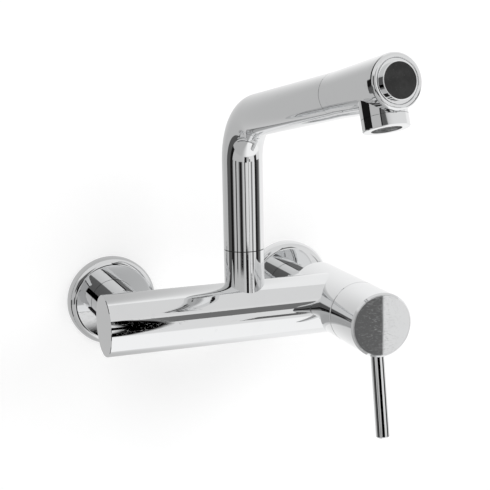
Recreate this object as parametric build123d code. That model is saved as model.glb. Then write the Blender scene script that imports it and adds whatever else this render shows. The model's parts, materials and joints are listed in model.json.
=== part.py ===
# Wall mounted single lever kitchen mixer with a high swivel spout and a pin lever.
# Millimetres, +Z up. The finished wall is the plane Y = 0 and the room is on the -Y side.
# The origin lies midway between the two wall connections, in the wall plane.
import math
import os

from build123d import *

# ---- wall connections -------------------------------------------------------------------
inlet_spacing = 150.0        # centre to centre of the two water connections
union_offset = 7.5           # eccentric unions lift the inlet legs this far above the wall pipes
wall_thread_r = 10.48        # G1/2 thread
wall_thread_len = 16.0
union_flange_r = 14.5
union_flange_len = 3.0
union_thread_r = 13.2        # G3/4 thread
union_thread_len = 9.0
union_bore_r = 6.5
washer_thick = 2.0
washer_bore_r = 6.5
tail_flange_len = 1.6
tail_r = 10.5                # inlet tail, screwed into the leg
tail_bore_r = 7.0
tail_len = 13.0
nut_flats = 30.0
nut_collar_len = 1.9
nut_to_leg = 0.3             # gap between the union nut and the end of the leg

# ---- rosettes ---------------------------------------------------------------------------
rosette_r = 35.0
rosette_depth = 10.0
rosette_wall = 1.2
rosette_edge_r = 5.5         # rounded front edge
rosette_hole_play = 0.12
rosette_ring_r = 0.9         # section of the rubber ring behind the rosette

# ---- body casting -----------------------------------------------------------------------
body_axis_out = 80.0         # body axis to wall
body_r = 23.0
end_overhang = 22.0          # tube beyond the left inlet, up to where the end plug seats
body_left = -inlet_spacing / 2 - end_overhang
body_wall = 4.0
leg_r = 18.0
leg_end_out = 6.8            # back end of each leg, inside its rosette
leg_bore_r = 8.0
end_plug_head = 3.5
end_plug_thread = 9.0
end_plug_ring_r = 1.0        # section of its O-ring
thread_play = 0.08

# ---- cartridge housing ------------------------------------------------------------------
housing_offset = 11.0        # housing axis to the right of the right inlet
housing_x = inlet_spacing / 2 + housing_offset
housing_r = 24.0
housing_back_len = 38.0      # behind the body axis
housing_front_len = 41.6     # in front of the body axis
housing_back_out = body_axis_out - housing_back_len
housing_front_out = body_axis_out + housing_front_len
housing_edge = 0.5
housing_back_edge = 1.5
pivot_in = 9.6               # lever pivot behind the front of the housing
pivot_out = housing_front_out - pivot_in
seat_to_pivot = 22.0
seat_out = pivot_out - seat_to_pivot         # flat seat the cartridge stands on
chamber_to_housing = 28.0
chamber_right = housing_x - chamber_to_housing
port_r = 3.8
port_height = 10.0           # hot port below and mixed port above the housing axis
cold_port_x = inlet_spacing / 2 + 2.5
mixed_port_x = housing_x + 5.0

# ---- cartridge --------------------------------------------------------------------------
cartridge_r = 17.4
cartridge_play = 0.1
base_thick = 5.0
fixed_disc_thick = 3.0
moving_disc_r = 10.5
moving_disc_thick = 2.6
driver_r = 10.0
driver_thick = 3.4
driver_floor = 0.6
shell_wall = 2.1
shell_bore_r = cartridge_r - shell_wall
fixed_disc_r = shell_bore_r - 0.3
shell_lid = 3.0
shell_len = 20.5
carrier_flange_r = shell_bore_r - 0.7
carrier_to_driver = 0.4
carrier_r = 12.0
carrier_front_out = pivot_out + 5.5
turn_play = 0.08             # running clearance of everything that turns
face_play = 0.1              # face clearance of moving pieces
pivot_pin_r = 1.5
pivot_play = 0.05
spindle_width = 8.0
spindle_blade = 6.0
spindle_blade_play = 0.35
spindle_tip_r = 2.2
spindle_tip_play = 0.35
nut_step = 1.6               # the nut thread is this much larger in radius than the cartridge
cartridge_nut_r = cartridge_r + nut_step
cartridge_nut_bore_r = 13.2
cartridge_nut_len = 6.5

# ---- dome and knob ----------------------------------------------------------------------
dome_base_step = 0.27        # the dome meets the housing this far inside its edge
dome_r = math.hypot(pivot_in, housing_r - dome_base_step)        # centred on the lever pivot
dome_wall = 1.5
dome_hole_r = 16.0
dome_spigot_len = 3.0
dome_to_hood = 0.4
hood_land = 0.3              # flat left on the rear rim of the hood
hood_inner_r = dome_r + dome_to_hood
hood_r = housing_r
boss_step = 0.6
boss_back_out = pivot_out + hood_inner_r + boss_step
boss_to_face = 22.4
hood_front_out = boss_back_out + boss_to_face
hood_face_thick = 7.0
hood_wall = 3.2
hood_boss_r = 9.5
hood_edge = 1.4
face_rim = 1.6
face_disc_r = hood_r - face_rim
face_disc_thick = 2.0
face_disc_proud = 0.3
face_disc_play = 0.1
spindle_play = 0.05
spindle_in_boss = 8.6

# ---- pin lever --------------------------------------------------------------------------
pin_r = 5.1
pin_to_face = 7.8            # the pin axis leaves the knob surface this far behind its face
pin_out = hood_front_out - pin_to_face
pin_lean = 9.0               # the pin leans forward by this many degrees
pin_below_knob = 60.5
pin_reach = hood_r + pin_below_knob          # pin end below the knob axis
pin_edge = 0.9
pin_thread_r = 3.0
pin_thread_len = 4.4
pin_play = 0.08
lock_screw_r = 2.5
lock_screw_len = 5.0
lock_screw_in = 3.6           # its axis in front of the back of the boss

# ---- riser and spout --------------------------------------------------------------------
riser_x = 10.0
tube_r = 15.2
tube_wall = 1.5
collar_height = 48.5         # swivel seam above the body axis
glide_thick = 0.6
socket_depth = 19.0
swivel_tail_r = 11.8
swivel_tail_bore_r = 8.0
swivel_tail_up = 14.0        # length of the tail brazed into the riser
swivel_ring_r = 1.2
swivel_ring_low = 4.5        # first O-ring above the tail end
swivel_ring_pitch = 5.0
screw_groove_r = 10.3
screw_groove_half = 2.6
spout_screw_r = 2.0
spout_screw_down = 4.2       # screw axis below the collar
spout_height = 146.5         # bend corner above the body axis
bend_r = 37.0
spout_rise = 10.5            # the spout climbs by this many degrees
spout_turn = 5.0             # and is swung this far to the right at rest
spout_reach = 223.5          # rim of the head, along the spout from the bend corner
head_len = 71.5
joint_at = spout_reach - head_len            # tube to head joint
head_rim_r = 17.3
head_bore_r = 11.5
head_edge = 2.2              # rounded outer edge of the rim
joint_groove = 0.45          # small groove where the spout end meets the tube
sleeve_len = 16.0
sleeve_wall = 1.4
plug_r = 11.6
plug_proud = 2.8
plug_edge = 0.3
inlay_r = 11.0               # dark disc let into the face of the plug
inlay_thick = 1.0
inlay_proud = 0.1
plug_thread_len = 6.5
plug_ring_r = 0.9
rim_face_recess_r = 13.6
rim_face_recess = 1.0
rim_inner_edge = 0.8         # rounded edge of the recess

# ---- aerator ----------------------------------------------------------------------------
outlet_to_rim = 21.5
outlet_lean = 8.0            # the outlet leans this far forward of square to the spout
outlet_at = spout_reach - outlet_to_rim      # outlet axis along the spout
outlet_r = 14.5
outlet_neck = 19.6           # length of the neck below the spout axis
outlet_bore_r = 9.0
aerator_end = 27.3           # end of the aerator below the spout axis
aerator_thread_r = 12.0
aerator_thread_len = 5.0
aerator_wall = 1.6
aerator_seam = 0.2
insert_r = 10.0
insert_len = 8.5
mesh_recess = 1.0
mesh_thick = 0.6
aerator_washer_thick = 1.6

# ---- inner water tube -------------------------------------------------------------------
inner_tube_r = 5.0
inner_tube_wall = 0.8
inner_tube_bend = 8.0
inner_tube_in_block = 7.0
inner_tube_play = 0.06
inner_ring_r = 1.0

low = (Align.CENTER, Align.CENTER, Align.MIN)
leg_z = union_offset

# Local frames: "out" frames have local Z pointing out of the wall and local Y pointing up.
def outFrame(x):
    return Plane(origin=(x, 0, leg_z), x_dir=(1, 0, 0), z_dir=(0, -1, 0))


def disc(r, start, end):
    return Pos(0, 0, start) * Cylinder(r, end - start, align=low)


def ring(r_out, r_in, start, end):
    return disc(r_out, start, end) - disc(r_in, start - 1, end + 1)


def turned(points):
    """Solid of revolution about Z from (radius, height) corners."""
    profile = Plane.XZ * make_face(Polyline(*points, close=True))
    return revolve(profile, axis=Axis.Z)


def oRing(radius, section, height):
    return Pos(0, 0, height) * Torus(radius, section)


def hexPrism(flats, start, end):
    sketch = RegularPolygon(flats / math.sqrt(3), 6)
    return Pos(0, 0, start) * extrude(sketch, end - start)


def alongX(shape, x, z, out):
    """Turn a Z aligned shape so that its local Z runs along +X."""
    return Pos(x, -out, leg_z + z) * Rot(0, 90, 0) * shape


# ---- stack of the wall union, measured out of the wall ----------------------------------
tail_flange_out = leg_end_out - nut_to_leg - nut_collar_len - tail_flange_len
washer_out = tail_flange_out - washer_thick
union_end_out = washer_out
union_flange_out = union_end_out - union_thread_len
union_back_out = union_flange_out - union_flange_len
wall_end_out = union_back_out - wall_thread_len
tail_flange_r = union_thread_r - 0.6


def wallUnion(x):
    drop = Pos(0, -union_offset, 0)
    solid = drop * disc(wall_thread_r, wall_end_out, union_back_out)
    solid += drop * disc(union_flange_r, union_back_out, union_flange_out)
    solid += disc(union_flange_r, union_back_out, union_flange_out)
    solid += disc(union_thread_r, union_flange_out, union_end_out)
    middle = (union_back_out + union_flange_out) / 2
    solid -= drop * disc(union_bore_r, wall_end_out - 1, middle + 1)
    solid -= disc(union_bore_r, middle - 1, union_end_out + 1)
    return outFrame(x) * solid


def filterWasher(x):
    solid = ring(union_thread_r - 0.4, washer_bore_r, washer_out, tail_flange_out)
    screen = disc(washer_bore_r + 0.5, washer_out + 0.7, washer_out + 1.3)
    return outFrame(x) * (solid + screen)


def inletTail(x):
    flange_end = tail_flange_out + tail_flange_len
    solid = disc(tail_flange_r, tail_flange_out, flange_end)
    solid += disc(tail_r, flange_end, leg_end_out + tail_len)
    solid -= disc(tail_bore_r, tail_flange_out - 1, leg_end_out + tail_len + 1)
    return outFrame(x) * solid


def unionNut(x):
    collar_back = tail_flange_out + tail_flange_len
    front = collar_back + nut_collar_len
    back = union_flange_out + 1.0
    solid = hexPrism(nut_flats, back, front)
    solid -= disc(union_thread_r + thread_play, back - 1, collar_back)
    solid -= disc(tail_r + thread_play, collar_back - 1, front + 1)
    return outFrame(x) * solid


def rosette(x):
    r, d, e = rosette_r, rosette_depth, rosette_edge_r
    solid = disc(r, 0, d)
    solid = fillet(solid.edges().group_by(Axis.Z)[-1], e)
    inner = disc(r - rosette_wall, -1, d - rosette_wall)
    inner = fillet(inner.edges().group_by(Axis.Z)[-1], e - rosette_wall)
    solid -= inner
    solid -= disc(leg_r + rosette_hole_play, -1, d + 1)
    return outFrame(x) * solid


def rosetteRings():
    height = rosette_depth - rosette_wall - rosette_ring_r - 0.02
    one = oRing(leg_r + rosette_ring_r + 0.02, rosette_ring_r, height)
    return [outFrame(side * inlet_spacing / 2) * one for side in (-1, 1)]


# ---- casting ----------------------------------------------------------------------------
chamber_r = body_r - body_wall
socket_floor = collar_height - socket_depth
inner_tube_z = port_height
ring_pocket_r = inner_tube_r + 2 * inner_ring_r + 0.05
ring_pocket_depth = 2 * inner_ring_r + 0.2
cartridge_bore_r = cartridge_r + cartridge_play
nut_back_out = seat_out + base_thick + shell_len


def bodyCasting():
    frame_left = outFrame(-inlet_spacing / 2)
    frame_right = outFrame(inlet_spacing / 2)
    housing_frame = outFrame(housing_x)

    solid = alongX(disc(body_r, 0, housing_x - body_left), body_left, 0, body_axis_out)
    for frame in (frame_left, frame_right):
        solid += frame * disc(leg_r, leg_end_out, body_axis_out)
    housing = disc(housing_r, housing_back_out, housing_front_out)
    housing = chamfer(housing.edges().group_by(Axis.Z)[-1], housing_edge)
    housing = chamfer(housing.edges().group_by(Axis.Z)[0], housing_back_edge)
    solid += housing_frame * housing
    solid += Pos(riser_x, -body_axis_out, leg_z) * disc(tube_r, 0, collar_height)

    # water chamber, open to the left leg and closed by the end plug
    solid -= alongX(disc(chamber_r, -1, chamber_right - body_left), body_left, 0, body_axis_out)
    solid -= frame_left * disc(leg_bore_r, leg_end_out - 1, body_axis_out)
    solid -= frame_right * disc(leg_bore_r, leg_end_out - 1, body_axis_out - 12)
    for frame in (frame_left, frame_right):
        solid -= frame * disc(tail_r + thread_play, leg_end_out - 1, leg_end_out + tail_len + 0.5)

    # hot way: chamber to the lower port
    solid -= alongX(disc(port_r, 0, housing_x - chamber_right + 1), chamber_right - 1, -port_height,
                    body_axis_out)
    solid -= housing_frame * Pos(0, -port_height, 0) * disc(port_r, body_axis_out, seat_out + 1)
    # mixed way: upper port to the inner tube
    solid -= alongX(disc(port_r, 0, mixed_port_x - chamber_right + 1), chamber_right - 1, port_height,
                    body_axis_out)
    solid -= alongX(disc(inner_tube_r + inner_tube_play, 0, inner_tube_in_block + 1), chamber_right - 1,
                    port_height, body_axis_out)
    solid -= outFrame(mixed_port_x) * Pos(0, port_height, 0) * disc(port_r, body_axis_out, seat_out + 1)
    # cold way: straight on from the right leg
    solid -= outFrame(cold_port_x) * disc(port_r, body_axis_out - 16, seat_out + 1)

    # cartridge bore and nut thread
    solid -= housing_frame * disc(cartridge_bore_r, seat_out, housing_front_out + 1)
    solid -= housing_frame * disc(cartridge_nut_r + thread_play, nut_back_out, housing_front_out + 1)

    # riser socket, inner tube hole and spout screw hole
    riser = Pos(riser_x, -body_axis_out, leg_z)
    solid -= riser * disc(swivel_tail_r + turn_play, socket_floor, collar_height + 1)
    solid -= riser * disc(inner_tube_r + inner_tube_play, inner_tube_z, socket_floor + 1)
    solid -= riser * disc(ring_pocket_r, socket_floor - ring_pocket_depth, socket_floor + 1)
    screw_z = leg_z + collar_height - spout_screw_down
    hole = Cylinder(spout_screw_r + thread_play, tube_r + 2, align=low)
    solid -= Pos(riser_x, -body_axis_out, screw_z) * Rot(-90, 0, 0) * hole
    return solid


def bodyEndPlug():
    ring_at = 1.6
    groove_r = chamber_r - thread_play - 2 * end_plug_ring_r
    head = disc(body_r, -end_plug_head, 0)
    head = chamfer(head.edges().group_by(Axis.Z)[0], 0.4)
    thread = disc(chamber_r - thread_play, 0, end_plug_thread)
    groove = ring(chamber_r + 1, groove_r, ring_at - end_plug_ring_r, ring_at + end_plug_ring_r)
    pocket = hexPrism(12.0, 3.0, end_plug_thread + 1)
    return alongX(head + thread - groove - pocket, body_left, 0, body_axis_out)


def bodyEndPlugRing():
    ring_at = 1.6
    radius = chamber_r - thread_play - end_plug_ring_r
    return alongX(oRing(radius, end_plug_ring_r * 0.98, ring_at), body_left, 0, body_axis_out)


def mixedWaterTube():
    start = (chamber_right + inner_tube_in_block - 0.5, -body_axis_out, leg_z + inner_tube_z)
    corner = (riser_x, -body_axis_out, leg_z + inner_tube_z)
    top = (riser_x, -body_axis_out, leg_z + socket_floor - 0.5)
    path = FilletPolyline(start, corner, top, radius=inner_tube_bend)
    across = Plane(origin=start, z_dir=(-1, 0, 0))
    outer = sweep(across * Circle(inner_tube_r), path=path)
    inner = sweep(across * Circle(inner_tube_r - inner_tube_wall), path=path)
    return outer - inner


def mixedTubeRings():
    radius = inner_tube_r + inner_ring_r + 0.02
    in_chamber = alongX(oRing(radius, inner_ring_r, -inner_ring_r - 0.05), chamber_right, port_height,
                        body_axis_out)
    pocket_z = socket_floor - ring_pocket_depth + inner_ring_r + 0.05
    under_riser = Pos(riser_x, -body_axis_out, leg_z) * oRing(radius, inner_ring_r, pocket_z)
    return [in_chamber, under_riser]


# ---- cartridge --------------------------------------------------------------------------
base_front = seat_out + base_thick
fixed_front = base_front + fixed_disc_thick
moving_back = fixed_front + 0.02
moving_front = moving_back + moving_disc_thick
driver_front = moving_front + driver_thick
lid_back = base_front + shell_len - shell_lid
port_places = [(0.0, -port_height), (mixed_port_x - housing_x, port_height), (cold_port_x - housing_x, 0.0)]
port_seal_len = 2.0


def portSeals():
    seals = []
    for u, v in port_places:
        seal = Pos(u, v, 0) * ring(port_r + 1.6, port_r, seat_out, seat_out + port_seal_len)
        seals.append(outFrame(housing_x) * seal)
    return seals


def cartridgeBase():
    solid = disc(cartridge_r, seat_out, base_front)
    for u, v in port_places:
        place = Pos(u, v, 0)
        solid -= place * disc(port_r - 0.5, seat_out - 1, base_front + 1)
        solid -= place * disc(port_r + 1.65, seat_out - 1, seat_out + port_seal_len + 0.02)
    return outFrame(housing_x) * solid


def ceramicFixedDisc():
    solid = disc(fixed_disc_r, base_front, fixed_front)
    for u, v in port_places:
        solid -= Pos(u * 0.72, v * 0.72, 0) * disc(port_r - 1.3, base_front - 1, fixed_front + 1)
    return outFrame(housing_x) * solid


def cartridgeShell():
    front = base_front + shell_len
    solid = disc(cartridge_r, base_front, front)
    solid -= disc(shell_bore_r, base_front - 1, lid_back)
    solid -= disc(carrier_r + turn_play, lid_back - 1, front + 1)
    return outFrame(housing_x) * solid


def ceramicMovingDisc():
    solid = disc(moving_disc_r, moving_back, moving_front)
    solid -= disc(moving_disc_r - 4.0, moving_back - 1, moving_back + 1.2)
    return outFrame(housing_x) * solid


def discDriver():
    solid = disc(driver_r, moving_front, driver_front)
    pocket_r = spindle_tip_r + spindle_tip_play
    solid -= disc(pocket_r, moving_front + driver_floor, driver_front + 1)
    return outFrame(housing_x) * solid


spindle_tip_out = moving_front + driver_floor + 0.3 + spindle_tip_r
carrier_back = driver_front + carrier_to_driver


def spindleCarrier():
    solid = disc(carrier_flange_r, carrier_back, lid_back - face_play)
    solid += disc(carrier_r, carrier_back, carrier_front_out)
    # slot the spindle swings in: it lets the spindle tilt up and down, not sideways
    slot_width = spindle_blade + 2 * spindle_blade_play
    slot = Pos(0, 0, carrier_back - 1) * Box(slot_width, 2 * carrier_r - 5, 30, align=low)
    solid -= slot
    hole = Rot(0, 90, 0) * Cylinder(pivot_pin_r + 0.02, 2 * carrier_r + 2)
    solid -= Pos(0, 0, pivot_out) * hole
    return outFrame(housing_x) * solid


def spindlePivotPin():
    pin = Rot(0, 90, 0) * Cylinder(pivot_pin_r, 2 * carrier_r - 0.6)
    return outFrame(housing_x) * Pos(0, 0, pivot_out) * pin


spindle_end_out = boss_back_out + spindle_in_boss


def spindle():
    width = spindle_width
    # round tip in the driver, blade in the carrier slot, square shank in the knob
    solid = Pos(0, 0, spindle_tip_out) * Sphere(spindle_tip_r)
    solid += disc(1.8, spindle_tip_out, pivot_out)
    blade_half = pivot_pin_r + 2.2
    solid += Pos(0, 0, pivot_out) * Rot(0, 90, 0) * Cylinder(blade_half, spindle_blade)
    neck = Box(spindle_blade, width, spindle_end_out - pivot_out, align=low)
    solid += Pos(0, 0, pivot_out) * neck
    shank_from = carrier_front_out + 4.0
    shank = Box(width, width, spindle_end_out - shank_from, align=low)
    solid += Pos(0, 0, shank_from) * shank
    hole = Rot(0, 90, 0) * Cylinder(pivot_pin_r + pivot_play, width + 4)
    solid -= Pos(0, 0, pivot_out) * hole
    return outFrame(housing_x) * solid


def cartridgeNut():
    back = nut_back_out
    front = min(back + cartridge_nut_len, housing_front_out - dome_spigot_len - 0.2)
    solid = ring(cartridge_nut_r, cartridge_nut_bore_r, back, front)
    for angle in (0, 90, 180, 270):
        slot = Pos(cartridge_nut_bore_r + 0.5, 0, front - 1.2) * Box(5.0, 3.0, 3.0, align=low)
        solid -= Rot(0, 0, angle) * slot
    return outFrame(housing_x) * solid


def domeCover():
    centre = Pos(0, 0, pivot_out)
    solid = centre * Sphere(dome_r) - centre * Sphere(dome_r - dome_wall)
    front_part = Pos(0, 0, housing_front_out) * Box(80, 80, 80, align=low)
    solid = solid & front_part
    solid -= disc(dome_hole_r, housing_front_out - 1, hood_front_out)
    spigot_r = cartridge_nut_r
    base_r = math.sqrt(dome_r ** 2 - (housing_front_out - pivot_out) ** 2) - 0.4
    solid += ring(base_r, spigot_r - dome_wall, housing_front_out, housing_front_out + 1.2)
    solid += ring(spigot_r, spigot_r - dome_wall, housing_front_out - dome_spigot_len,
                  housing_front_out + 1.2)
    keep = centre * Sphere(dome_r)
    return outFrame(housing_x) * (solid & keep)


# ---- knob and pin -----------------------------------------------------------------------
hood_rim_out = pivot_out + math.sqrt(hood_inner_r ** 2 - (hood_r - hood_land) ** 2)
hood_floor_out = hood_front_out - hood_face_thick
pin_start = Plane(origin=(0, -hood_r, pin_out), x_dir=(1, 0, 0),
                  z_dir=(0, -math.cos(math.radians(pin_lean)), math.sin(math.radians(pin_lean))))
pin_length = (pin_reach - hood_r) / math.cos(math.radians(pin_lean))
pin_shank_in = hood_r - hood_boss_r + 0.4      # the shank stands on the boss


def lockScrewFrame():
    return Plane(origin=(0, 0, boss_back_out + lock_screw_in), x_dir=(1, 0, 0), z_dir=(0, -1, 0))


def knobHood():
    solid = disc(hood_r, hood_rim_out, hood_front_out)
    solid = chamfer(solid.edges().group_by(Axis.Z)[-1], hood_edge)
    solid -= Pos(0, 0, pivot_out) * Sphere(hood_inner_r)
    cavity_r = hood_r - hood_wall
    cavity_from = pivot_out + math.sqrt(hood_inner_r ** 2 - cavity_r ** 2) - 1.0
    solid -= ring(cavity_r, hood_boss_r, cavity_from, hood_floor_out)
    solid -= disc(hood_boss_r + 0.5, cavity_from, boss_back_out)
    # square socket for the spindle
    side = spindle_width + 2 * spindle_play
    solid -= Pos(0, 0, boss_back_out - 1) * Box(side, side, spindle_in_boss + 1.2, align=low)
    # recess for the face disc
    recess = face_disc_thick - face_disc_proud
    solid -= disc(face_disc_r + face_disc_play, hood_front_out - recess, hood_front_out + 1)
    # the pin shank lands on the boss through the lower wall
    solid -= pin_start * disc(pin_r + pin_play, -pin_shank_in - 0.05, 6)
    solid -= pin_start * disc(pin_thread_r + pin_play, -pin_shank_in - pin_thread_len - 0.3, 6)
    # locking screw below the spindle, reached from underneath, behind the pin
    solid -= lockScrewFrame() * disc(lock_screw_r + thread_play, spindle_width / 2, hood_r + 2)
    return outFrame(housing_x) * solid


def knobFaceDisc():
    back = hood_front_out - (face_disc_thick - face_disc_proud)
    solid = disc(face_disc_r, back, back + face_disc_thick)
    solid = chamfer(solid.edges().group_by(Axis.Z)[-1], 0.25)
    return outFrame(housing_x) * solid


def leverPin():
    solid = disc(pin_r, -pin_shank_in, pin_length)
    solid = chamfer(solid.edges().group_by(Axis.Z)[-1], pin_edge)
    solid += disc(pin_thread_r, -pin_shank_in - pin_thread_len, 0)
    return outFrame(housing_x) * pin_start * solid


def leverLockScrew():
    start = spindle_width / 2 + 0.05
    solid = disc(lock_screw_r, start, start + lock_screw_len)
    solid -= hexPrism(2.5, start + lock_screw_len - 2.5, start + lock_screw_len + 1)
    return outFrame(housing_x) * lockScrewFrame() * solid


# ---- spout ------------------------------------------------------------------------------
spin = math.radians(spout_turn)
climb = math.radians(spout_rise)
spout_dir = Vector(math.sin(spin) * math.cos(climb), -math.cos(spin) * math.cos(climb), math.sin(climb))
across_dir = Vector(math.cos(spin), math.sin(spin), 0)
bend_corner = Vector(riser_x, -body_axis_out, leg_z + spout_height)
riser_foot = collar_height + glide_thick + face_play / 2
tube_bore_r = tube_r - tube_wall


def spoutFrame(distance):
    """Local Z along the spout, local X to its right, local Y up."""
    return Plane(origin=bend_corner + spout_dir * distance, x_dir=across_dir, z_dir=spout_dir)


def outletFrame():
    down = across_dir.cross(spout_dir)
    if down.Z > 0:
        down = down * -1
    lean = math.radians(outlet_lean)
    down = down * math.cos(lean) + spout_dir * math.sin(lean)
    return Plane(origin=bend_corner + spout_dir * outlet_at, x_dir=across_dir, z_dir=down)


def riserPlace():
    return Pos(riser_x, -body_axis_out, leg_z)


def spoutTube():
    foot = Vector(riser_x, -body_axis_out, leg_z + riser_foot)
    end = bend_corner + spout_dir * joint_at
    path = FilletPolyline(foot, bend_corner, end, radius=bend_r)
    section = Plane(origin=foot, z_dir=(0, 0, 1))
    outer = sweep(section * Circle(tube_r), path=path)
    inner = sweep(section * Circle(tube_bore_r), path=path)
    return outer - inner


def spoutTail():
    bottom = socket_floor + 0.3
    top = riser_foot + swivel_tail_up
    solid = disc(swivel_tail_r, bottom, riser_foot)
    solid += disc(tube_bore_r - 0.02, riser_foot, top)
    solid -= disc(swivel_tail_bore_r, bottom - 1, top + 1)
    for index in range(2):
        height = bottom + swivel_ring_low + index * swivel_ring_pitch
        half = swivel_ring_r + 0.1
        solid -= ring(swivel_tail_r + 1, swivel_tail_r - 2 * swivel_ring_r, height - half, height + half)
    groove_z = collar_height - spout_screw_down
    solid -= ring(swivel_tail_r + 1, screw_groove_r, groove_z - screw_groove_half,
                  groove_z + screw_groove_half)
    return riserPlace() * solid


def spoutRings():
    bottom = socket_floor + 0.3
    rings = []
    for index in range(2):
        height = bottom + swivel_ring_low + index * swivel_ring_pitch
        centre_r = swivel_tail_r - swivel_ring_r
        rings.append(riserPlace() * oRing(centre_r, swivel_ring_r * 0.99, height))
    return rings


def swivelGlideRing():
    return riserPlace() * ring(tube_r - 0.5, swivel_tail_r + 0.3, collar_height, collar_height + glide_thick)


def spoutScrew():
    screw_z = leg_z + collar_height - spout_screw_down
    start = screw_groove_r + 0.35
    length = tube_r - start - 0.3
    solid = disc(spout_screw_r, start, start + length)
    solid -= hexPrism(2.0, start + length - 1.5, start + length + 1)
    return Pos(riser_x, -body_axis_out, screw_z) * Rot(-90, 0, 0) * solid


def spoutHead():
    profile = [(0, 0), (tube_r - joint_groove, 0), (tube_r + 0.01, joint_groove), (tube_r + 0.15, 8),
               (head_rim_r, head_len - 6), (head_rim_r, head_len), (rim_face_recess_r, head_len),
               (rim_face_recess_r, head_len - rim_face_recess), (0, head_len - rim_face_recess)]
    shell = turned(profile)
    rim = shell.edges().filter_by(GeomType.CIRCLE).group_by(Axis.Z)[-1].sort_by(SortBy.RADIUS)
    shell = fillet(rim[-1], head_edge)
    rim = shell.edges().filter_by(GeomType.CIRCLE).group_by(Axis.Z)[-1].sort_by(SortBy.RADIUS)
    shell = fillet(rim[0], rim_inner_edge)
    solid = spoutFrame(joint_at) * shell
    outlet = outletFrame()
    solid += outlet * disc(outlet_r, 0, outlet_neck)
    solid -= spoutFrame(joint_at) * disc(head_bore_r, sleeve_len / 2, head_len + 1)
    solid -= spoutFrame(joint_at) * disc(tube_bore_r, -1, sleeve_len / 2 + 0.1)
    solid -= outlet * disc(outlet_bore_r, 0, outlet_neck + 1)
    thread_from = outlet_neck - aerator_thread_len - aerator_washer_thick - 0.2
    solid -= outlet * disc(aerator_thread_r + thread_play, thread_from, outlet_neck + 1)
    return solid


def spoutSleeve():
    solid = ring(tube_bore_r - 0.03, tube_bore_r - sleeve_wall, -sleeve_len / 2, sleeve_len / 2 - 0.05)
    return spoutFrame(joint_at) * solid


plug_seat = head_len - rim_face_recess


def spoutEndPlug():
    front = head_len + plug_proud
    head_r = rim_face_recess_r - 0.15
    cup = disc(head_r, plug_seat, head_len - 0.15)
    face = disc(plug_r, plug_seat, front)
    face = chamfer(face.edges().group_by(Axis.Z)[-1], plug_edge)
    thread_back = plug_seat - plug_thread_len
    thread = disc(head_bore_r - thread_play, thread_back, plug_seat)
    ring_at = plug_seat - 1.2
    groove = ring(head_bore_r + 1, head_bore_r - thread_play - 2 * plug_ring_r, ring_at - plug_ring_r - 0.05,
                  ring_at + plug_ring_r + 0.05)
    hollow = disc(head_bore_r - 4.5, thread_back - 1, plug_seat - 3)
    pocket = disc(inlay_r + 0.05, front - inlay_thick, front + 1)
    return spoutFrame(joint_at) * (cup + face + thread - groove - hollow - pocket)


def spoutEndInlay():
    front = head_len + plug_proud
    solid = disc(inlay_r, front - inlay_thick, front + inlay_proud)
    solid = fillet(solid.edges().group_by(Axis.Z)[-1], inlay_proud)
    return spoutFrame(joint_at) * solid


def spoutEndPlugRing():
    ring_at = plug_seat - 1.2
    return spoutFrame(joint_at) * oRing(head_bore_r - thread_play - plug_ring_r, plug_ring_r * 0.98, ring_at)


def aeratorHousing():
    skirt_from = outlet_neck + aerator_seam
    thread_from = outlet_neck - aerator_thread_len
    solid = disc(outlet_r, skirt_from, aerator_end)
    solid = chamfer(solid.edges().group_by(Axis.Z)[-1], 0.5)
    solid += disc(aerator_thread_r, thread_from, skirt_from + 0.1)
    solid -= disc(insert_r + 0.1, thread_from - 1, aerator_end - 1.2)
    solid -= disc(insert_r - 0.6, thread_from - 1, aerator_end + 1)
    return outletFrame() * solid


insert_back = outlet_neck - aerator_thread_len


def aeratorInsert():
    end = insert_back + insert_len
    solid = disc(insert_r, insert_back, end)
    for index in range(12):
        spot = Rot(0, 0, index * 30) * Pos(insert_r * 0.66, 0, 0)
        solid -= spot * disc(0.9, insert_back - 1, end + 1)
    return outletFrame() * solid


def aeratorMesh():
    start = aerator_end - 1.2 - mesh_recess - mesh_thick
    solid = disc(insert_r, start, start + mesh_thick)
    return outletFrame() * solid


def aeratorWasher():
    start = outlet_neck - aerator_thread_len - aerator_washer_thick
    return outletFrame() * ring(aerator_thread_r - 0.2, insert_r - 3.0, start,
                                start + aerator_washer_thick)


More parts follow.
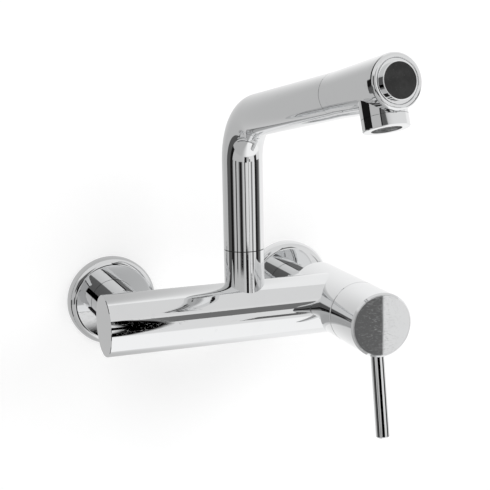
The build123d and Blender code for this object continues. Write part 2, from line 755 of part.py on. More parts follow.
# ---- write one file for each piece ------------------------------------------------------
left = -inlet_spacing / 2
right = inlet_spacing / 2
pieces = {
    "wall_union_hot": wallUnion(left),
    "wall_union_cold": wallUnion(right),
    "filter_washer_hot": filterWasher(left),
    "filter_washer_cold": filterWasher(right),
    "inlet_tail_hot": inletTail(left),
    "inlet_tail_cold": inletTail(right),
    "union_nut_hot": unionNut(left),
    "union_nut_cold": unionNut(right),
    "rosette_hot": rosette(left),
    "rosette_cold": rosette(right),
    "rosette_rubber_rings": rosetteRings(),
    "body_casting": bodyCasting(),
    "body_end_plug": bodyEndPlug(),
    "body_end_plug_ring": bodyEndPlugRing(),
    "mixed_water_tube": mixedWaterTube(),
    "mixed_tube_rings": mixedTubeRings(),
    "port_seals": portSeals(),
    "cartridge_base": cartridgeBase(),
    "ceramic_fixed_disc": ceramicFixedDisc(),
    "cartridge_shell": cartridgeShell(),
    "ceramic_moving_disc": ceramicMovingDisc(),
    "disc_driver": discDriver(),
    "spindle_carrier": spindleCarrier(),
    "spindle_pivot_pin": spindlePivotPin(),
    "spindle": spindle(),
    "cartridge_nut": cartridgeNut(),
    "dome_cover": domeCover(),
    "knob_hood": knobHood(),
    "knob_face_disc": knobFaceDisc(),
    "lever_pin": leverPin(),
    "lever_lock_screw": leverLockScrew(),
    "swivel_glide_ring": swivelGlideRing(),
    "spout_screw": spoutScrew(),
    "spout_tail": spoutTail(),
    "spout_tail_rings": spoutRings(),
    "spout_tube": spoutTube(),
    "spout_head": spoutHead(),
    "spout_sleeve": spoutSleeve(),
    "spout_end_plug": spoutEndPlug(),
    "spout_end_inlay": spoutEndInlay(),
    "spout_end_plug_ring": spoutEndPlugRing(),
    "aerator_housing": aeratorHousing(),
    "aerator_insert": aeratorInsert(),
    "aerator_mesh": aeratorMesh(),
    "aerator_washer": aeratorWasher(),
}

os.makedirs("parts", exist_ok=True)
for name, shape in pieces.items():
    solids = shape if isinstance(shape, list) else [shape]
    everything = [solid for item in solids for solid in item.solids()]
    body = everything[0] if len(everything) == 1 else Compound(children=everything)
    export_step(body, "parts/" + name + ".step")
    print(name, len(everything), round(sum(solid.volume for solid in everything), 1))
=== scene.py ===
# Wall mounted kitchen mixer: finishes, fine pieces, stage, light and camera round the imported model.
import json
import math
import bpy
from mathutils import Matrix, Vector


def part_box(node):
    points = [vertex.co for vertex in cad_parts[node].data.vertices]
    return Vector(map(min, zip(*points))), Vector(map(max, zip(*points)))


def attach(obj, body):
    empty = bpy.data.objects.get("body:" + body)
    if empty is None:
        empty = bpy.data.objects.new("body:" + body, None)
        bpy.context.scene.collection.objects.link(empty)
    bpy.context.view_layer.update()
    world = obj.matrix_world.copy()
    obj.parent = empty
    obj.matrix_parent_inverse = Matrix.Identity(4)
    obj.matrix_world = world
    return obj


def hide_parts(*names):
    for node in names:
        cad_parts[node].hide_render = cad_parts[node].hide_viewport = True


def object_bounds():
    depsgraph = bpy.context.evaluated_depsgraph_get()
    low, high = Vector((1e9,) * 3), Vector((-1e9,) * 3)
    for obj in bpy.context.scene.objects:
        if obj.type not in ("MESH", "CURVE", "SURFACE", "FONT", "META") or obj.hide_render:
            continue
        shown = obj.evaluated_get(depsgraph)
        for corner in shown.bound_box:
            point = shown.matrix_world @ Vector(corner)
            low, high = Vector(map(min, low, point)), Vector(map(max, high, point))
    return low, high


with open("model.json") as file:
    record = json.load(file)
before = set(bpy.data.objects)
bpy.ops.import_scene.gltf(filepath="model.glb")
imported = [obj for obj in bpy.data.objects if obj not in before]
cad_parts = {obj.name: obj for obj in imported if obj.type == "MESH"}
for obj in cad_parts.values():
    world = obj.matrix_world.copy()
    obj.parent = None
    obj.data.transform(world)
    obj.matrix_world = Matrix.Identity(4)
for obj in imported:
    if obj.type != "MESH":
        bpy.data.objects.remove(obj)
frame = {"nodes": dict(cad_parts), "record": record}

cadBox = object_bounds()
nodeOf = frame["nodes"]
slotOf = {part["node"]: part["material_slot"] for part in frame["record"]["subparts"]}
mountOf = {mount["name"]: Vector(mount["pos_m"]) for mount in frame["record"]["mounts"]}
mm = 0.001
print("model loaded,", len(nodeOf), "pieces")


class Wire:  # one output socket, so that masks and sums read as plain arithmetic
    def __init__(self, tree, socket):
        self.tree, self.socket = tree, socket

    def __add__(self, other):
        return self.tree.sum("ADD", self, other)

    def __radd__(self, other):
        return self.tree.sum("ADD", other, self)

    def __sub__(self, other):
        return self.tree.sum("SUBTRACT", self, other)

    def __rsub__(self, other):
        return self.tree.sum("SUBTRACT", other, self)

    def __mul__(self, other):
        return self.tree.sum("MULTIPLY", self, other)

    def __rmul__(self, other):
        return self.tree.sum("MULTIPLY", other, self)


class Tree:  # a node tree and the one way nodes are added to it
    def __init__(self, owner):
        owner.use_nodes = True
        self.owner, self.tree = owner, owner.node_tree
        self.tree.nodes.clear()

    def node(self, kind, settings={}, values={}, output=0):
        made = self.tree.nodes.new(kind)
        for name, value in settings.items():
            setattr(made, name, value)
        for name, value in values.items():
            if isinstance(value, Wire):
                self.tree.links.new(value.socket, made.inputs[name])
            else:
                made.inputs[name].default_value = value
        return Wire(self, made.outputs[output]) if len(made.outputs) else None

    def sum(self, operation, first, second=0.0):
        return self.node("ShaderNodeMath", {"operation": operation}, {0: first, 1: second})

    def step(self, value, low, high):  # 0 below low, 1 above high, smooth between
        return self.node("ShaderNodeMapRange", {"interpolation_type": "SMOOTHSTEP"},
                         {"Value": value, "From Min": low, "From Max": high})

    def blend(self, share, first, second):  # two colours
        return self.node("ShaderNodeMix", {"data_type": "RGBA"}, {0: share, 6: first, 7: second}, 2)

    def noise(self, place, scale, detail=2.0, roughness=0.5):
        return self.node("ShaderNodeTexNoise", {},
                         {"Vector": place, "Scale": scale, "Detail": detail, "Roughness": roughness})

    def placeOnPiece(self, turn=(0, 0, 0), stretch=(1, 1, 1)):
        spot = self.node("ShaderNodeTexCoord", {}, {}, "Object")
        return self.node("ShaderNodeMapping", {}, {"Vector": spot, "Rotation": turn, "Scale": stretch})

    def bump(self, height, strength, distance, under=None):
        values = {"Height": height, "Strength": strength, "Distance": distance}
        if under:
            values["Normal"] = under
        return self.node("ShaderNodeBump", {}, values)

    def surface(self, values):
        shader = self.node("ShaderNodeBsdfPrincipled", {}, values)
        self.node("ShaderNodeOutputMaterial", {}, {"Surface": shader})


def newFinish(name):
    return Tree(bpy.data.materials.new(name))


def grey(value):
    return (value, value, value, 1.0)


def fineScratches(tree, turn, scale):  # long hairlines one way, thin and sparse
    hairs = tree.noise(tree.placeOnPiece(turn, (1.0, 14.0, 14.0)), scale, 3.0, 0.6)
    return tree.step(hairs, 0.64, 0.70)


def waterSpots(tree, scale, share):  # dried drops: a faint ring in a few of the cells
    place = tree.placeOnPiece()
    near = tree.node("ShaderNodeTexVoronoi", {}, {"Vector": place, "Scale": scale}, "Distance")
    cell = tree.node("ShaderNodeTexVoronoi", {}, {"Vector": place, "Scale": scale}, "Color")
    pick = tree.node("ShaderNodeSeparateColor", {}, {"Color": cell}, "Red")
    ring = tree.step(near, 0.20, 0.26) * (1 - tree.step(near, 0.27, 0.33))
    return ring * (1 - tree.step(pick, share, share + 0.02))


mirrorChrome = {
    "colour": (0.80, 0.805, 0.81, 1.0),
    "veil": (0.70, 0.71, 0.72, 1.0),       # where a dried drop or a wipe dulls it
    "roughness": 0.014,
    "wiped": 0.016,          # more roughness where it was wiped
    "waviness": 0.55 * mm,
}
flatChrome = {
    "colour": (0.80, 0.805, 0.81, 1.0),
    "veil": (0.72, 0.73, 0.74, 1.0),
    "roughness": 0.002,
    "wiped": 0.004,
    "waviness": 0.05 * mm,
}


def chromeFinish(name, look=mirrorChrome, handled=0.0):
    tree = newFinish(name)
    place = tree.placeOnPiece()
    hairs = fineScratches(tree, (0.3, 0.2, 0.9), 260) + fineScratches(tree, (1.1, 0.5, -0.4), 310)
    spots = waterSpots(tree, 190, 0.02)
    wipes = tree.step(tree.noise(place, 38, 4.0, 0.65), 0.52, 0.72)
    colour = tree.blend(spots * 0.3 + wipes * (0.10 + handled), look["colour"], look["veil"])
    roughness = look["roughness"] + wipes * (look["wiped"] + 0.10 * handled)
    roughness = roughness + hairs * look["wiped"] + spots * 0.04
    wave = tree.bump(tree.noise(place, 26, 1.0), 0.10, look["waviness"])
    normal = tree.bump(hairs, 0.04, 0.02 * mm, wave)
    tree.surface({"Base Color": colour, "Metallic": 1.0, "Roughness": roughness, "Normal": normal})
    return tree.owner


def nutChromeFinish(name):  # plated over a coarser machined surface
    tree = newFinish(name)
    place = tree.placeOnPiece()
    turned = tree.noise(tree.placeOnPiece((0, 0, 0), (1.0, 30.0, 1.0)), 60, 3.0)
    wipes = tree.step(tree.noise(place, 60, 4.0), 0.45, 0.75)
    colour = tree.blend(wipes * 0.3, (0.74, 0.745, 0.75, 1), (0.60, 0.61, 0.62, 1))
    normal = tree.bump(turned, 0.10, 0.05 * mm)
    roughness = 0.07 + wipes * 0.08
    tree.surface({"Base Color": colour, "Metallic": 1.0, "Roughness": roughness, "Normal": normal})
    return tree.owner


brassLook = {"bright": (0.83, 0.62, 0.28, 1), "dull": (0.55, 0.38, 0.16, 1), "pitch": 55.0}


def brassFinish(name, look=brassLook, polish=0.22):
    tree = newFinish(name)
    place = tree.placeOnPiece()
    tarnish = tree.step(tree.noise(place, 70, 5.0, 0.6), 0.42, 0.68)
    lathe = tree.noise(tree.placeOnPiece((0, 0, 0), (1.0, 40.0, 1.0)), look["pitch"], 2.0)
    colour = tree.blend(tarnish * 0.7, look["bright"], look["dull"])
    roughness = polish + tarnish * 0.18 + lathe * 0.08
    normal = tree.bump(lathe, 0.25, 0.04 * mm)
    tree.surface({"Base Color": colour, "Metallic": 1.0, "Roughness": roughness, "Normal": normal})
    return tree.owner


def copperFinish(name):
    tree = newFinish(name)
    place = tree.placeOnPiece()
    stain = tree.step(tree.noise(place, 50, 4.0), 0.40, 0.70)
    drawn = tree.noise(tree.placeOnPiece((0, 0, 0), (0.6, 12.0, 12.0)), 120, 2.0)
    colour = tree.blend(stain, (0.86, 0.47, 0.31, 1), (0.45, 0.21, 0.13, 1))
    tree.surface({"Base Color": colour, "Metallic": 1.0, "Roughness": 0.20 + stain * 0.2,
                  "Normal": tree.bump(drawn, 0.15, 0.03 * mm)})
    return tree.owner


def rubberFinish(name):
    tree = newFinish(name)
    place = tree.placeOnPiece()
    bloom = tree.step(tree.noise(place, 130, 4.0), 0.45, 0.75)
    grain = tree.noise(place, 1400, 2.0)
    colour = tree.blend(bloom * 0.5, grey(0.016), grey(0.045))
    tree.surface({"Base Color": colour, "Roughness": 0.55 + bloom * 0.25,
                  "Normal": tree.bump(grain, 0.3, 0.03 * mm)})
    return tree.owner


def fibreFinish(name):
    tree = newFinish(name)
    place = tree.placeOnPiece()
    fibres = tree.noise(tree.placeOnPiece((0.2, 0.4, 0.7), (1.0, 8.0, 8.0)), 700, 3.0)
    colour = tree.blend(tree.step(fibres, 0.35, 0.65), (0.34, 0.055, 0.035, 1), (0.55, 0.13, 0.08, 1))
    tree.surface({"Base Color": colour, "Roughness": 0.75 + tree.noise(place, 300) * 0.15,
                  "Normal": tree.bump(fibres, 0.5, 0.06 * mm)})
    return tree.owner


def mouldedFinish(name, tone, shade, roughness, gloss=0.0):
    tree = newFinish(name)
    place = tree.placeOnPiece()
    flow = tree.step(tree.noise(place, 45, 3.0), 0.40, 0.70)
    grain = tree.noise(place, 1100, 3.0)
    colour = tree.blend(flow * 0.6, tone, shade)
    tree.surface({"Base Color": colour, "Roughness": roughness + grain * 0.12,
                  "Coat Weight": gloss, "Normal": tree.bump(grain, 0.18, 0.02 * mm)})
    return tree.owner


def steelFinish(name, tone, pitch):
    tree = newFinish(name)
    brushed = tree.noise(tree.placeOnPiece((0.1, 0.2, 0.3), (1.0, 18.0, 18.0)), pitch, 3.0)
    colour = tree.blend(tree.step(brushed, 0.3, 0.7), tone, grey(tone[0] * 0.75))
    tree.surface({"Base Color": colour, "Metallic": 1.0, "Roughness": 0.24 + brushed * 0.14,
                  "Normal": tree.bump(brushed, 0.15, 0.02 * mm)})
    return tree.owner


def inlayFinish(name):  # dark lacquer, cloudy under a clear gloss
    tree = newFinish(name)
    place = tree.placeOnPiece()
    cloud = tree.step(tree.noise(place, 160, 4.0, 0.6), 0.35, 0.70)
    dust = tree.step(tree.noise(place, 1500, 2.0), 0.66, 0.72)
    colour = tree.blend(cloud, grey(0.010), grey(0.022))
    dusty = tree.blend(dust * 0.4, colour, grey(0.12))
    tree.surface({"Base Color": dusty, "Roughness": 0.34 + cloud * 0.10,
                  "Specular IOR Level": 0.34, "Coat Weight": 0.04, "Coat Roughness": 0.12,
                  "Normal": tree.bump(tree.noise(place, 900, 2.0), 0.08, 0.02 * mm)})
    return tree.owner


finishes = {
    "chrome": chromeFinish("mirrorChrome"),
    "handledChrome": chromeFinish("handledChrome", handled=0.12),
    "flatChrome": chromeFinish("flatChrome", flatChrome),
    "nut_chrome": nutChromeFinish("nutChrome"),
    "union_brass": brassFinish("castBrass", polish=0.30),
    "plain_brass": brassFinish("turnedBrass"),
    "copper": copperFinish("copperTube"),
    "rubber": rubberFinish("blackRubber"),
    "fibre": fibreFinish("pressedFibre"),
    "cartridge_plastic": mouldedFinish("cartridgeWhite", (0.72, 0.72, 0.68, 1),
                                       (0.62, 0.62, 0.58, 1), 0.38),
    "carrier_plastic": mouldedFinish("carrierGrey", (0.52, 0.53, 0.55, 1), (0.44, 0.45, 0.47, 1), 0.42),
    "black_glide": mouldedFinish("blackGlide", grey(0.018), grey(0.030), 0.40),
    "ceramic": mouldedFinish("lappedCeramic", (0.84, 0.83, 0.79, 1), (0.78, 0.77, 0.73, 1), 0.12, 0.4),
    "steel": steelFinish("stainless", grey(0.62), 500),
    "aerator_plastic": mouldedFinish("aeratorGrey", (0.16, 0.165, 0.17, 1), (0.12, 0.12, 0.13, 1), 0.35),
    "mesh_steel": steelFinish("screenWire", grey(0.50), 900),
    "dark_inlay": inlayFinish("darkLacquer"),
}
ownFinish = {"knob_hood": "handledChrome", "lever_pin": "handledChrome", "knob_face_disc": "flatChrome"}


def dress(piece, finish):
    piece.data.materials.clear()
    piece.data.materials.append(finish)


for name, piece in nodeOf.items():
    dress(piece, finishes[ownFinish.get(name, slotOf[name])])
print("finishes on,", len(finishes))


def startClean():
    if bpy.context.object and bpy.context.object.mode == "EDIT":
        bpy.ops.object.mode_set(mode="OBJECT")
    bpy.ops.object.select_all(action="DESELECT")


def selectVerts(piece, wanted):  # by place, in edit mode
    bpy.ops.object.mode_set(mode="OBJECT")
    for vert in piece.data.vertices:
        vert.select = wanted(vert.co)
    for edge in piece.data.edges:
        edge.select = all(piece.data.vertices[index].select for index in edge.vertices)
    for face in piece.data.polygons:
        face.select = all(piece.data.vertices[index].select for index in face.vertices)
    bpy.ops.object.mode_set(mode="EDIT")


def allSelected():
    bpy.ops.mesh.select_all(action="SELECT")


def settle(piece, angle=35):  # place into the mesh, doubles merged, faces outwards, smooth
    startClean()
    bpy.context.view_layer.objects.active = piece
    piece.select_set(True)
    bpy.ops.object.transform_apply(location=True, rotation=True, scale=True)
    bpy.ops.object.mode_set(mode="EDIT")
    allSelected()
    bpy.ops.mesh.remove_doubles(threshold=0.002 * mm)
    bpy.ops.mesh.normals_make_consistent(inside=False)
    bpy.ops.object.mode_set(mode="OBJECT")
    bpy.ops.object.shade_smooth_by_angle(angle=math.radians(angle))


def copyOf(piece, name):
    made = piece.copy()
    made.data = piece.data.copy()
    made.name = name
    bpy.context.scene.collection.objects.link(made)
    return made


def joinTogether(pieces, name):
    startClean()
    for piece in pieces:
        piece.select_set(True)
    bpy.context.view_layer.objects.active = pieces[0]
    bpy.ops.object.join()
    pieces[0].name = name
    return pieces[0]


# The wall unions keep their CAD shape, but their pins get a real thread.
unionThread = {
    "pitch": 1.814 * mm,     # G1/2
    "crest": 10.48 * mm,     # radius over the thread
    "length": 16.0 * mm,     # length of the pin
    "flat": 0.12,            # width of the crest, as a share of half the ridge's foot
    "sunk": 0.1 * mm,        # how far the ridge's foot goes into the core
    "rootDrop": 1.10 * mm,   # thread depth
    "runIn": 1.2 * mm,       # plain end before the first turn
    "runOut": 1.6 * mm,      # plain neck under the flange
    "steps": 48,
}


def shrinkPin(piece, centre, crest, root, nearEnd):
    startClean()
    bpy.context.view_layer.objects.active = piece
    piece.select_set(True)
    bpy.ops.object.mode_set(mode="EDIT")
    allSelected()
    bpy.ops.mesh.remove_doubles(threshold=0.002 * mm)

    def onPin(spot):
        away = math.hypot(spot.x - centre.x, spot.z - centre.z)
        return spot.y > nearEnd - 0.01 * mm and abs(away - crest) < 0.05 * mm

    selectVerts(piece, onPin)
    bpy.ops.transform.resize(value=(root / crest, 1, root / crest), center_override=centre)
    bpy.ops.object.mode_set(mode="OBJECT")


def threadRidge(name, centre, crest, root, start, end):
    look = unionThread
    turns = int((end - start) / look["pitch"]) - 1
    startClean()
    bpy.ops.mesh.primitive_plane_add(size=1, location=(0, 0, 0))
    ridge = bpy.context.object
    ridge.name = name
    half = look["pitch"] * 0.46
    bpy.ops.object.mode_set(mode="EDIT")
    allSelected()
    bpy.ops.mesh.delete(type="ONLY_FACE")
    bpy.ops.object.mode_set(mode="OBJECT")
    foot, flat = root - look["sunk"], half * look["flat"]
    corners = ((foot, -half), (crest, -flat), (crest, flat), (foot, half))
    order = [ridge.data.edges[0].vertices[0]]
    while len(order) < 4:  # walk round the square
        for edge in ridge.data.edges:
            ends = list(edge.vertices)
            if order[-1] in ends:
                other = ends[1 - ends.index(order[-1])]
                if other not in order:
                    order.append(other)
                    break
    for index, (away, along) in zip(order, corners):
        ridge.data.vertices[index].co = (away, 0, along)
    screw = ridge.modifiers.new("turns", "SCREW")
    screw.axis, screw.angle = "Z", math.radians(360)
    screw.screw_offset, screw.iterations = look["pitch"], turns
    screw.steps = screw.render_steps = look["steps"]
    screw.use_merge_vertices = False
    startClean()
    bpy.context.view_layer.objects.active = ridge
    ridge.select_set(True)
    bpy.ops.object.modifier_apply(modifier="turns")
    bpy.ops.object.mode_set(mode="EDIT")  # close the two cut ends of the ridge
    bpy.ops.mesh.select_all(action="DESELECT")
    bpy.ops.mesh.select_mode(type="EDGE")
    bpy.ops.mesh.select_non_manifold()
    bpy.ops.mesh.edge_face_add()
    bpy.ops.mesh.select_mode(type="VERT")
    bpy.ops.object.mode_set(mode="OBJECT")
    length = turns * look["pitch"]
    middle = (start + end - length) / 2
    turn = Matrix.Rotation(-math.pi / 2, 4, "X")
    ridge.matrix_world = Matrix.Translation((centre.x, middle, centre.z)) @ turn
    settle(ridge, 30)
    return ridge


def threadedUnion(side):
    cadName = "wall_union_" + side
    pin = mountOf[side + "_inlet"]
    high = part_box(cadName)[1]
    crest, length = unionThread["crest"], unionThread["length"]
    root = crest - unionThread["rootDrop"]
    union = copyOf(nodeOf[cadName], "threadedUnion" + side.capitalize())
    shrinkPin(union, Vector((pin.x, high.y, pin.z)), crest, root, high.y - length)
    start = high.y - length + unionThread["runOut"]
    ridge = threadRidge("ridge", pin, crest - 0.01 * mm, root, start, high.y - unionThread["runIn"])
    whole = joinTogether([union, ridge], "threadedUnion" + side.capitalize())
    whole.parent = None
    startClean()
    bpy.context.view_layer.objects.active = whole
    whole.select_set(True)
    bpy.ops.object.shade_smooth_by_angle(angle=math.radians(30))
    dress(whole, finishes["union_brass"])
    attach(whole, "mixer_body")
    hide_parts(cadName)
    return whole


for side in ("hot", "cold"):
    threadedUnion(side)
print("unions threaded")


# The screen of the aerator is woven, square to the outlet.
spoutWay = {"rise": 10.5, "turn": 5.0, "outletLean": 8.0}    # the spout at rest, in degrees
screenLook = {
    "radius": 10.0 * mm,
    "thick": 0.6 * mm,
    "wire": 0.26 * mm,       # wire diameter
    "pitch": 1.15 * mm,
    "sides": 6,
    "rim": 0.7 * mm,         # width of the pressed rim
}


def spoutDirection():
    rise, turn = math.radians(spoutWay["rise"]), math.radians(spoutWay["turn"])
    return Vector((math.sin(turn) * math.cos(rise), -math.cos(turn) * math.cos(rise), math.sin(rise)))


def outletTurn():  # local Z down the outlet, local X across the spout
    along = spoutDirection()
    across = along.cross(Vector((0, 0, 1))).normalized()
    down = across.cross(along)
    if down.z > 0:
        down = -down
    lean = math.radians(spoutWay["outletLean"])
    down = down * math.cos(lean) + along * math.sin(lean)
    return Matrix((across, down.cross(across), down)).transposed().to_4x4()


def wovenWire(halfLength, phase):  # one wire along X, over and under its neighbours
    look = screenLook
    startClean()
    bpy.ops.mesh.primitive_circle_add(vertices=look["sides"], radius=look["wire"] / 2, fill_type="NGON",
                                      location=(-halfLength, 0, 0), rotation=(0, math.pi / 2, 0))
    wire = bpy.context.object
    bpy.ops.object.mode_set(mode="EDIT")
    allSelected()
    steps = max(2, round(2 * halfLength / (look["pitch"] / 2)))
    stride = 2 * halfLength / steps
    height = 0.0
    for index in range(steps):
        spot = -halfLength + stride * (index + 1)
        wanted = math.sin(math.pi * spot / look["pitch"] + phase) * look["wire"] * 0.5
        bpy.ops.mesh.extrude_region_move(TRANSFORM_OT_translate={"value": (stride, 0, wanted - height)})
        height = wanted
    bpy.ops.object.mode_set(mode="OBJECT")
    return wire


def screenRim(radius, thick):
    startClean()
    bpy.ops.mesh.primitive_circle_add(vertices=64, radius=radius - 0.05 * mm, fill_type="NGON",
                                      location=(0, 0, -thick / 2))
    rim = bpy.context.object
    bpy.ops.object.mode_set(mode="EDIT")
    allSelected()
    bpy.ops.mesh.inset(thickness=screenLook["rim"])
    bpy.ops.mesh.delete(type="FACE")
    allSelected()
    bpy.ops.mesh.extrude_region_move(TRANSFORM_OT_translate={"value": (0, 0, thick)})
    allSelected()
    bpy.ops.mesh.bevel(offset=0.08 * mm, segments=1, affect="EDGES")
    bpy.ops.object.mode_set(mode="OBJECT")
    return rim


def aeratorScreen():
    look = screenLook
    low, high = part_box("aerator_mesh")
    centre = (low + high) / 2
    radius, thick = look["radius"], look["thick"]
    inner = radius - look["rim"] * 0.6
    count = int(inner / look["pitch"])
    strands = []
    for turned in (0, 1):
        for index in range(-count, count + 1):
            off = index * look["pitch"]
            halfLength = math.sqrt(inner ** 2 - off ** 2)
            wire = wovenWire(halfLength, math.pi * (index + turned))
            turn = Matrix.Rotation(math.pi / 2 * turned, 4, "Z")
            wire.matrix_world = turn @ Matrix.Translation((0, off, 0)) @ wire.matrix_world
            strands.append(wire)
    screen = joinTogether(strands + [screenRim(radius, thick)], "aeratorScreen")
    startClean()
    bpy.context.view_layer.objects.active = screen
    screen.select_set(True)
    bpy.ops.object.transform_apply(location=True, rotation=True, scale=True)
    screen.matrix_world = Matrix.Translation(centre) @ outletTurn()
    settle(screen, 50)
    dress(screen, finishes["mesh_steel"])
    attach(screen, "spout")
    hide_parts("aerator_mesh")


aeratorScreen()
print("screen woven")


# The stage: wall, floor, and the board that only mirrors see in the wall's place, glowing with painted
# light.
stageSizes = {
    "wallGap": 0.3 * mm,     # the wall stands this far behind the rosettes
    "boardGap": 0.2 * mm,    # and the board for mirrors this far behind the wall
    "half": 3.0,
    "floorLevel": -0.62,
}


def oneSided(tree, shader):  # seen from the front only, so that views from behind stay clear
    clear = tree.node("ShaderNodeBsdfTransparent")
    back = tree.node("ShaderNodeNewGeometry", {}, {}, "Backfacing")
    mixed = tree.node("ShaderNodeMixShader", {}, {0: back, 1: shader, 2: clear})
    tree.node("ShaderNodeOutputMaterial", {}, {"Surface": mixed})


def paleBoard(name, tone, glow):
    tree = newFinish(name)
    plain = tree.node("ShaderNodeBsdfDiffuse", {}, {"Color": grey(tone)})
    own = tree.node("ShaderNodeEmission", {}, {"Color": grey(1.0), "Strength": glow})
    oneSided(tree, tree.node("ShaderNodeAddShader", {}, {0: plain, 1: own}))
    return tree.owner


def paintedLightBoard(name):  # painted light: what mirrors see of the wall, a glowing board, dimmer to the left, bright to the right as if lit from the right
    tree = newFinish(name)
    spot = tree.node("ShaderNodeTexCoord", {}, {}, "Object")
    across = tree.node("ShaderNodeSeparateXYZ", {}, {"Vector": spot}, "X")
    height = tree.node("ShaderNodeSeparateXYZ", {}, {"Vector": spot}, "Z")
    # painted light and shade: the glow rises to the right like light falling from the right, and a dim
    # band past the left edge, darker higher up, stands in for shade
    lit = tree.step(across, -0.186, -0.178)
    right = tree.step(across, -0.09, 0.13)
    dim = 0.10 - tree.step(height, 0.09, 0.13) * 0.09
    strength = dim * (1 - lit) + lit * (0.55 + right * 0.45)
    light = tree.node("ShaderNodeEmission", {}, {"Color": grey(1.0), "Strength": strength})
    oneSided(tree, light)
    return tree.owner


def board(name, finish, corners):
    mesh = bpy.data.meshes.new(name)
    mesh.from_pydata(corners, [], [(0, 1, 2, 3)])
    made = bpy.data.objects.new(name, mesh)
    bpy.context.scene.collection.objects.link(made)
    dress(made, finish)
    return made


def buildStage():
    half, level, back = stageSizes["half"], stageSizes["floorLevel"], stageSizes["wallGap"]
    top = level + half
    wallCorners = [(-half, back, level), (half, back, level), (half, back, top), (-half, back, top)]
    wall = board("wall", paleBoard("paleWall", 0.50, 0.54), wallCorners)
    behind = [(x, y + stageSizes["boardGap"], z) for x, y, z in wallCorners]
    mirrored = board("wallInMirrors", paintedLightBoard("paintedLightWall"), behind)
    floorCorners = [(-half, -half, level), (half, -half, level),
                    (half, back, level), (-half, back, level)]
    floor = board("floor", paleBoard("paleFloor", 0.55, 0.45), floorCorners)
    for plain in (wall, floor):
        plain.visible_glossy = False
    mirrored.visible_camera = mirrored.visible_diffuse = mirrored.visible_shadow = False


buildStage()


# Dark flags round the set, as seen from the mixer: bearing from straight out of the wall,
# right positive, and elevation, in degrees, with the light that is left in front of each.
flags = [
    {"bearing": (11, 15.6), "height": (-28, -14.7), "left": 0, "edge": 0.35},
    {"bearing": (13.6, 15.6), "height": (-14.7, 27), "left": 0, "edge": 0.35},
    {"bearing": (15.6, 25.9), "height": (4, 23), "left": 0.22, "edge": 0.4},
    {"bearing": (20, 25.9), "height": (-20, -12.6), "left": 0.16, "edge": 0.06},
    {"bearing": (-8, 6), "height": (-28, -11.5), "left": 0.02, "edge": 0.4},
    {"bearing": (-95, -77), "height": (-32, -4), "left": 0.02, "edge": 0.5},
    {"bearing": (-77, -73), "height": (-12.6, -4), "left": 0.3, "edge": 0.4},
    {"bearing": (-60, -54), "height": (-12.6, -4), "left": 0.03, "edge": 0.4},
    {"bearing": (-41, -36), "height": (-12.6, -4), "left": 0.3, "edge": 0.4},
    {"bearing": (-36, -24), "height": (-12.6, -4), "left": 0.03, "edge": 0.4},
    {"bearing": (-24, -20), "height": (-12.6, -4), "left": 0.3, "edge": 0.4},
    {"bearing": (-9, -3), "height": (-12.6, -4), "left": 0.12, "edge": 0.4},
    {"bearing": (28.5, 38), "height": (-12.6, -4), "left": 0.28, "edge": 0.4},
    {"bearing": (53, 69), "height": (-28, 4), "left": 0.02, "edge": 0.4},
    {"bearing": (69, 82), "height": (-12.6, -4), "left": 0.12, "edge": 0.4},
    {"bearing": (82, 90), "height": (-12.6, -4), "left": 0.4, "edge": 0.4},
    {"bearing": (-28, 15.6), "height": (-4, 5), "left": 0, "edge": 0.4},
    {"bearing": (-50, -44), "height": (5, 27), "left": 0.02, "edge": 0.4},
    {"bearing": (-44, -5), "height": (5, 27), "left": 0.2, "edge": 0.4},
]
roomLight = {
    "ceiling": 0.80,
    "middle": (0.55, 0.85),      # left and right
    "ground": (0.50, 1.08),
    "seen": 1.0,                 # what the camera sees
}


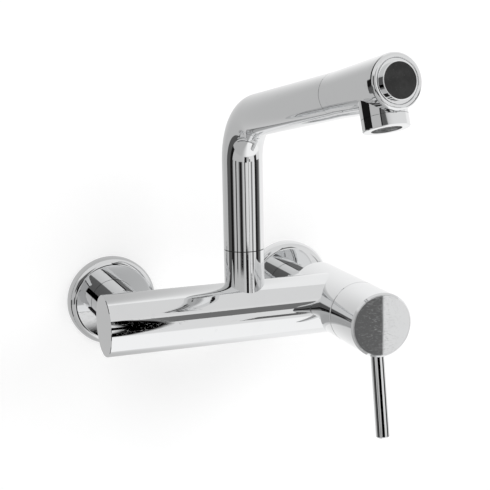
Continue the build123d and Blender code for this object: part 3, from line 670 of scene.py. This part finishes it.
def studioWorld():
    world = bpy.data.worlds.new("studio")
    bpy.context.scene.world = world
    tree = Tree(world)
    way = tree.node("ShaderNodeTexCoord", {}, {}, "Generated")
    x = tree.node("ShaderNodeSeparateXYZ", {}, {"Vector": way}, "X")
    y = tree.node("ShaderNodeSeparateXYZ", {}, {"Vector": way}, "Y")
    z = tree.node("ShaderNodeSeparateXYZ", {}, {"Vector": way}, "Z")
    bearing = tree.sum("ARCTAN2", x, 0 - y) * math.degrees(1)
    height = tree.sum("ARCSINE", z) * math.degrees(1)
    upper = tree.step(height, 25, 34)
    lower = tree.step(height, -33, -27)
    sideways = tree.step(bearing, -30, 15)
    middle = roomLight["middle"][0] + sideways * (roomLight["middle"][1] - roomLight["middle"][0])
    ground = roomLight["ground"][0] + sideways * (roomLight["ground"][1] - roomLight["ground"][0])
    light = ground + lower * (middle - ground)
    light = light + upper * (roomLight["ceiling"] - light)
    for flag in flags:
        low, high = flag["bearing"]
        under, over = flag["height"]
        soft = flag["edge"]
        shade = tree.step(bearing, low - soft, low + soft)
        shade = shade * (1 - tree.step(bearing, high - soft, high + soft))
        shade = shade * tree.step(height, under - soft, under + soft)
        shade = shade * (1 - tree.step(height, over - soft, over + soft))
        light = light * (1 - shade * (1 - flag["left"]))
    seen = tree.node("ShaderNodeLightPath", {}, {}, "Is Camera Ray")
    light = light * (1 - seen) + seen * roomLight["seen"]
    shine = tree.node("ShaderNodeBackground", {}, {"Color": grey(1.0), "Strength": light})
    tree.node("ShaderNodeOutputWorld", {}, {"Surface": shine})


lamps = {
    "keyLight": {"place": (1.3, -1.1, 1.0), "size": 1.1, "power": 14},
    "fillLight": {"place": (-1.0, -1.8, 1.6), "size": 1.4, "power": 12},
}


def softbox(name, place, size, power):
    light = bpy.data.lights.new(name, "AREA")
    light.shape, light.size, light.energy = "DISK", size, power
    lamp = bpy.data.objects.new(name, light)
    bpy.context.scene.collection.objects.link(lamp)
    middle = (cadBox[0] + cadBox[1]) / 2
    lamp.location = place
    lamp.rotation_euler = (middle - Vector(place)).to_track_quat("-Z", "Y").to_euler()
    lamp.visible_glossy = False
    lamp.visible_camera = False


studioWorld()
for name, look in lamps.items():
    softbox(name, look["place"], look["size"], look["power"])
print("stage and light set")


viewpoint = {
    "place": (-0.3128, -0.9841, 0.2518),
    "yaw": 19.70,            # degrees from straight at the wall, to the right
    "down": 11.37,
    "roll": 1.11,
    "lens": 95.4,
    "sensor": 36.0,
    "nearest": 0.05,
}


def setCamera():
    look = viewpoint
    camera = bpy.data.objects.new("camera", bpy.data.cameras.new("camera"))
    bpy.context.scene.collection.objects.link(camera)
    camera.data.lens, camera.data.sensor_width = look["lens"], look["sensor"]
    camera.data.clip_start = look["nearest"]
    turn = Matrix.Rotation(math.radians(-look["yaw"]), 4, "Z")
    turn = turn @ Matrix.Rotation(math.radians(90 - look["down"]), 4, "X")
    turn = turn @ Matrix.Rotation(math.radians(-look["roll"]), 4, "Z")
    camera.matrix_world = Matrix.Translation(look["place"]) @ turn
    bpy.context.scene.camera = camera
    bpy.context.scene.view_settings.view_transform = "Standard"
    bpy.context.scene.view_settings.look = "None"


setCamera()
